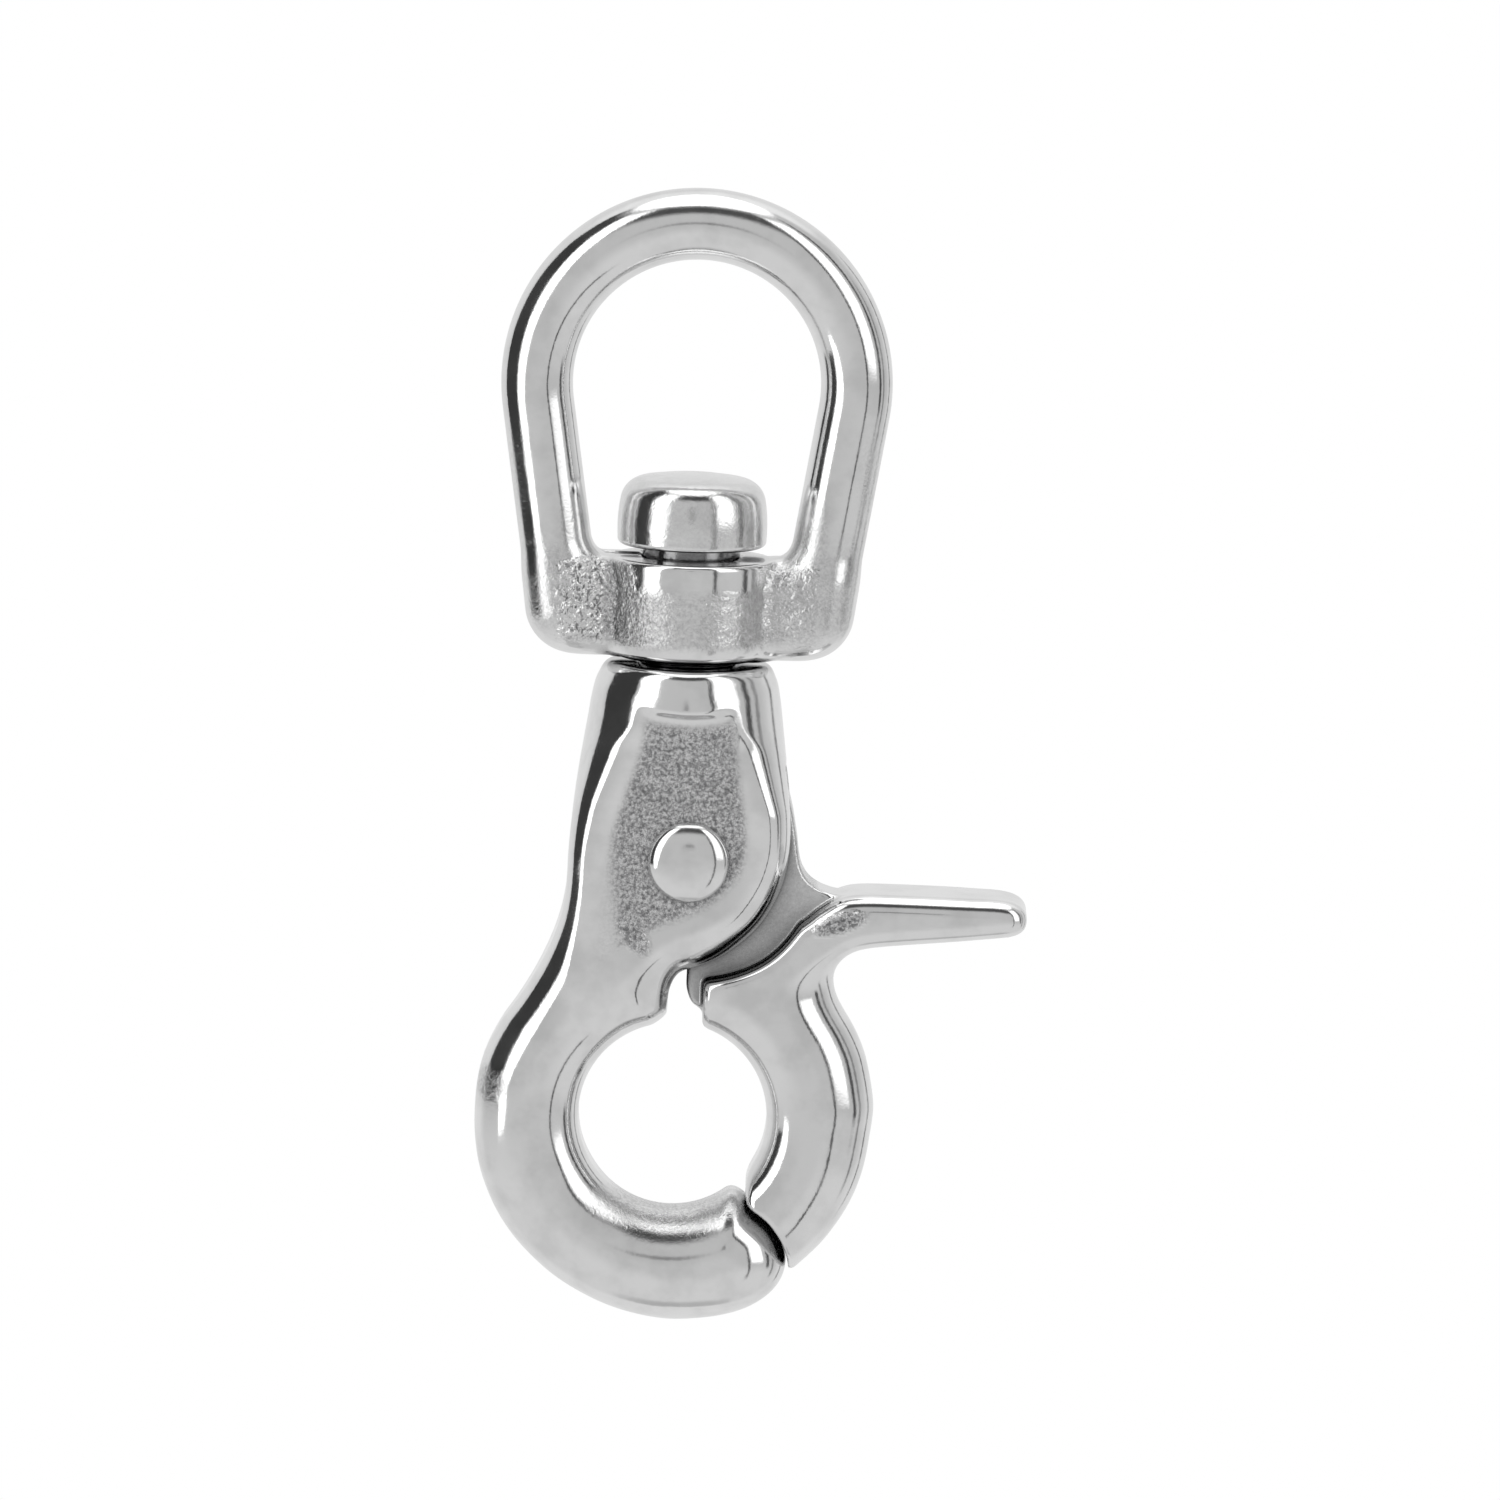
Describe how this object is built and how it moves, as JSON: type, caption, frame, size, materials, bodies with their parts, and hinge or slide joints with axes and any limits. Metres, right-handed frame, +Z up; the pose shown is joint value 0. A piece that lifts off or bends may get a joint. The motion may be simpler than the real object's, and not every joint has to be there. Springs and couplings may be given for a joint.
{
  "type": "swivel-eye trigger snap hook",
  "caption": "Polished stainless swivel hook: a round-wire bail on a headed swivel stud, a cast hook body and a sprung thumb-lever trigger that closes the eye.",
  "frame": {"origin": "centre of the bail's inner arc, on the swivel axis", "axes": "+Z up along the swivel axis, from the hook towards the crown of the bail; -Y out of the front; +X towards the tip of the thumb lever"},
  "size_m": [0.0335, 0.012, 0.0701],
  "materials": {
    "bail_steel": "polished casting",
    "stud_steel": "polished",
    "body_steel": "polished casting, as-cast recesses",
    "trigger_steel": "polished casting",
    "rivet_steel": "polished",
    "spring_steel": "drawn wire"
  },
  "bodies": {
    "bail": {"bail": "bail_steel"},
    "hook": {"hook_body": "body_steel", "swivel_stud": "stud_steel", "pivot_rivet": "rivet_steel", "torsion_spring": "spring_steel"},
    "trigger": {"trigger": "trigger_steel"}
  },
  "joints": [
    {"name": "swivel", "type": "hinge", "parent": "bail", "child": "hook", "pos_m": [0, 0, -0.0139], "axis": [0, 0, 1], "continuous": true},
    {"name": "trigger_pivot", "type": "hinge", "parent": "hook", "child": "trigger", "pos_m": [0.00045, 0, -0.02905], "axis": [0, -1, 0], "range_deg": [0, 28], "stiffness_Nm_per_rad": 0.05, "springref_deg": -34.38, "deforming": ["torsion_spring"]}
  ]
}
